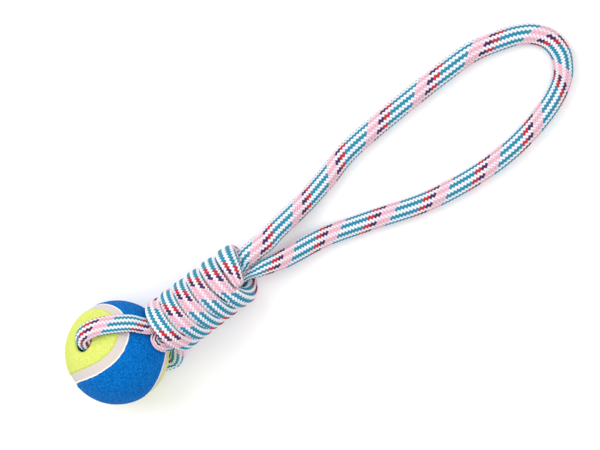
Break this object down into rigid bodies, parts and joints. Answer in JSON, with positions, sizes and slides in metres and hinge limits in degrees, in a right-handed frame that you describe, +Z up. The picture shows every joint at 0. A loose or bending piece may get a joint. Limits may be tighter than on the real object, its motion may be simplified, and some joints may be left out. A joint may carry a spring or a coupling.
{
  "type": "dog tug toy",
  "caption": "Tennis ball threaded on one braided rope, which is wound into a stiff grip behind the ball and ends in a long hand loop, for tugging and throwing.",
  "frame": {"origin": "on the floor, below the middle of the ball and the wound grip together, without the hand loop", "axes": "+X along the toy from the ball towards the hand loop, +Z up from the floor that it lies on"},
  "size_m": [0.3663, 0.0768, 0.0671],
  "materials": {
    "braided_rope": "soft matt braid in white, teal, red, dark purple and pink",
    "core_rubber": "plain moulded rubber",
    "yellow_felt": "fuzzy felt",
    "blue_felt": "fuzzy felt",
    "seam_rubber": "matt seam rubber"
  },
  "bodies": {
    "grip": {"rope_winding": "braided_rope", "rope_core_upper": "braided_rope", "rope_core_lower": "braided_rope", "rope_ball_bridle": "braided_rope"},
    "ball": {"ball_core_front": "core_rubber", "ball_core_back": "core_rubber", "ball_felt_yellow": "yellow_felt", "ball_felt_blue": "blue_felt", "ball_seam": "seam_rubber"},
    "hand_loop": {"rope_hand_loop": "braided_rope"}
  },
  "joints": [
    {"name": "ball_spin", "type": "hinge", "parent": "grip", "child": "ball", "pos_m": [-0.03213, 0, 0.03175], "axis": [-0.3802, 0.5702, 0.7282], "continuous": true},
    {"name": "hand_loop_flex", "type": "hinge", "parent": "grip", "child": "hand_loop", "pos_m": [0.06694, -0.002, 0.01875], "axis": [0, 1, 0], "range_deg": [-40, 40]}
  ]
}
